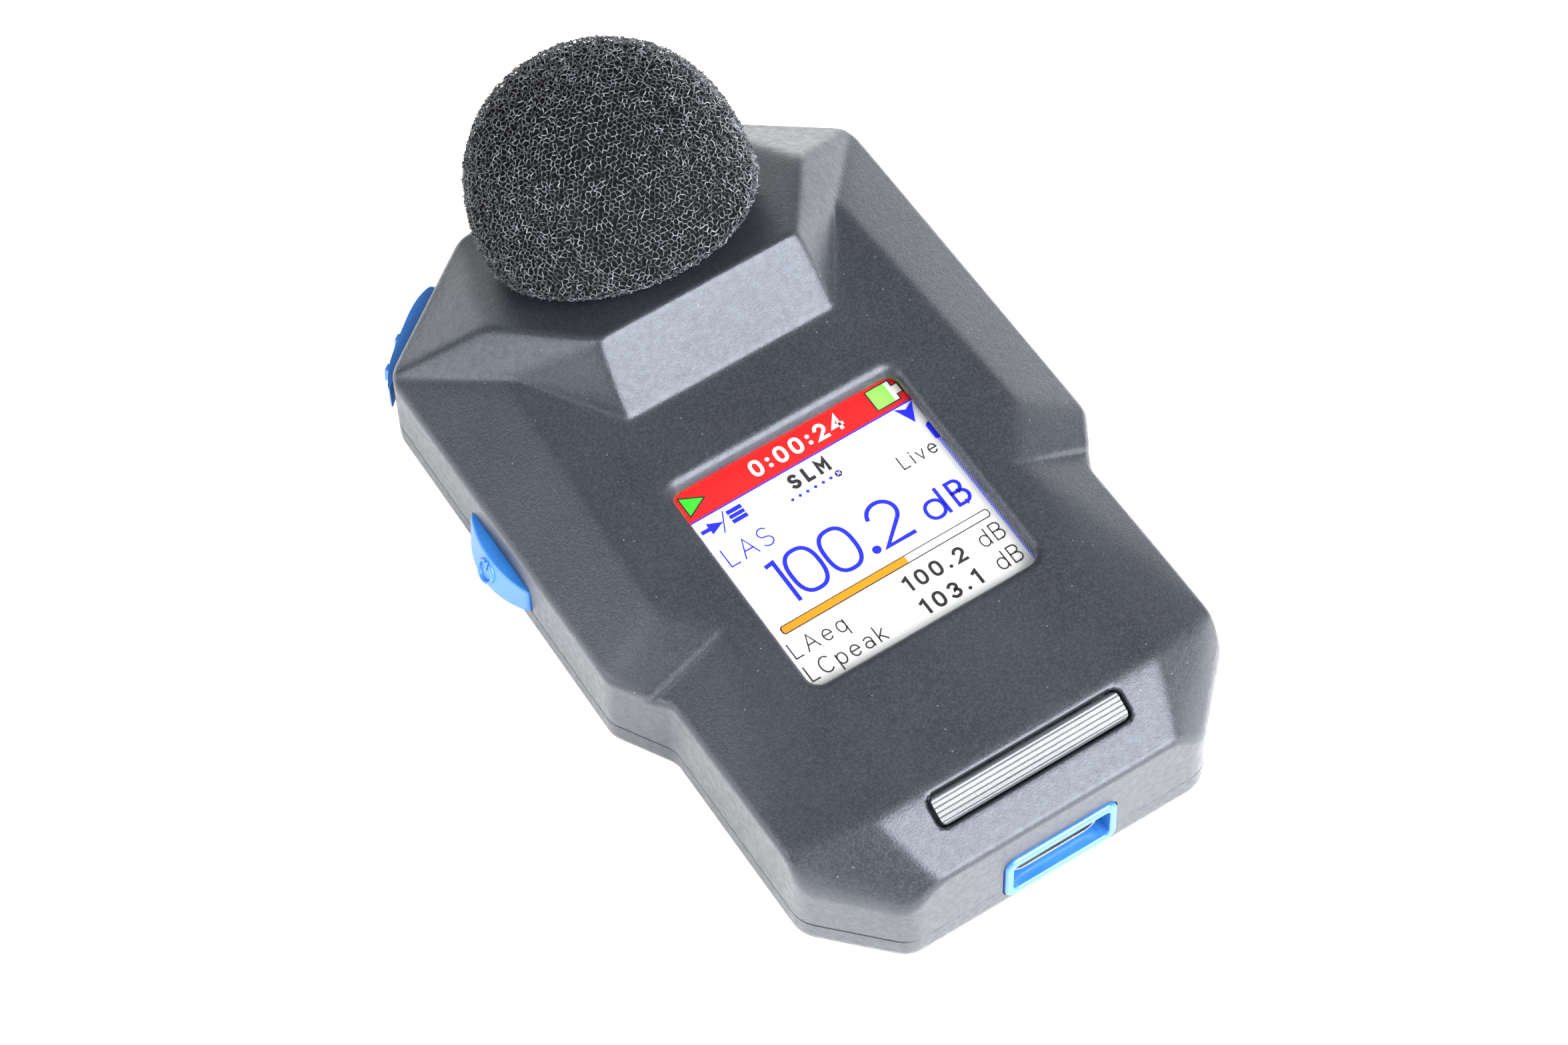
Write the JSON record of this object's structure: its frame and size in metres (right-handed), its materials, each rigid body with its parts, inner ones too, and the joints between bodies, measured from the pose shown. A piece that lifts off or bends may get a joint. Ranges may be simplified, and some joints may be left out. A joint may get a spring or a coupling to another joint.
{
  "type": "personal sound level meter",
  "caption": "Clip-on noise dosimeter with a faceted two-part case, square colour display, side buttons, charging socket and a foam-covered inclined microphone.",
  "frame": {"origin": "on the flat back of the case, on its centre line, half way along the whole length", "axes": "+X across the case to the reader's right, +Y along it from the charging socket toward the microphone, +Z out of the display"},
  "size_m": [0.0518, 0.0834, 0.0333],
  "materials": {
    "case_plastic": "fine textured charcoal",
    "rear_plastic": "fine textured charcoal",
    "blue_silicone": "satin blue silicone",
    "window_acrylic": "clear",
    "display_panel_face": "smooth",
    "tray_plastic": "matt",
    "polyimide_flex": "amber film",
    "clear_light_pipe": "clear ribbed",
    "led_body": "matt",
    "board_green": "solder mask",
    "steel": "satin",
    "chip_epoxy": "matt",
    "cell_pouch": "foil pouch",
    "foam_pad": "open foam",
    "brass": "satin",
    "aluminium": "turned",
    "windscreen_foam": "open-cell foam",
    "connector_plastic": "matt",
    "seal_rubber": "matt"
  },
  "bodies": {
    "case": {"front_shell": "case_plastic", "rear_shell": "rear_plastic", "usb_surround": "blue_silicone", "display_window": "window_acrylic", "display_panel": "display_panel_face", "display_tray": "tray_plastic", "display_flex": "polyimide_flex", "light_pipe": "clear_light_pipe", "status_led_1": "led_body", "status_led_2": "led_body", "main_board": "board_green", "radio_shield": "steel", "processor_chip": "chip_epoxy", "battery_connector": "connector_plastic", "battery_cell": "cell_pouch", "battery_pad": "foam_pad", "usb_socket_shell": "steel", "usb_socket_tongue": "chip_epoxy", "usb_board": "board_green", "preamp_housing": "aluminium", "microphone_seal": "seal_rubber", "microphone_capsule": "steel", "microphone_grid": "steel", "preamp_board": "board_green", "preamp_flex": "polyimide_flex", "power_switch": "chip_epoxy", "power_switch_board": "board_green", "left_switch": "chip_epoxy", "left_switch_board": "board_green", "right_switch": "chip_epoxy", "right_switch_board": "board_green", "case_screw_1": "steel", "thread_insert_1": "brass", "case_screw_2": "steel", "thread_insert_2": "brass", "case_screw_3": "steel", "thread_insert_3": "brass", "case_screw_4": "steel", "thread_insert_4": "brass"},
    "power_button": {"power_button": "blue_silicone"},
    "left_shoulder_button": {"left_shoulder_button": "blue_silicone"},
    "right_shoulder_button": {"right_shoulder_button": "blue_silicone"},
    "windscreen": {"windscreen": "windscreen_foam"}
  },
  "joints": [
    {"name": "power_press", "type": "slide", "parent": "case", "child": "power_button", "axis": [1, 0, 0], "range_m": [0, 0.00025], "stiffness_N_per_m": 500},
    {"name": "left_shoulder_press", "type": "slide", "parent": "case", "child": "left_shoulder_button", "axis": [0.5806, -0.8142, 0], "range_m": [0, 0.00025], "stiffness_N_per_m": 500},
    {"name": "right_shoulder_press", "type": "slide", "parent": "case", "child": "right_shoulder_button", "axis": [-0.5806, -0.8142, 0], "range_m": [0, 0.00025], "stiffness_N_per_m": 500},
    {"name": "windscreen_pull_off", "type": "slide", "parent": "case", "child": "windscreen", "axis": [0, 0.4305, 0.9026], "range_m": [0, 0.012]}
  ]
}
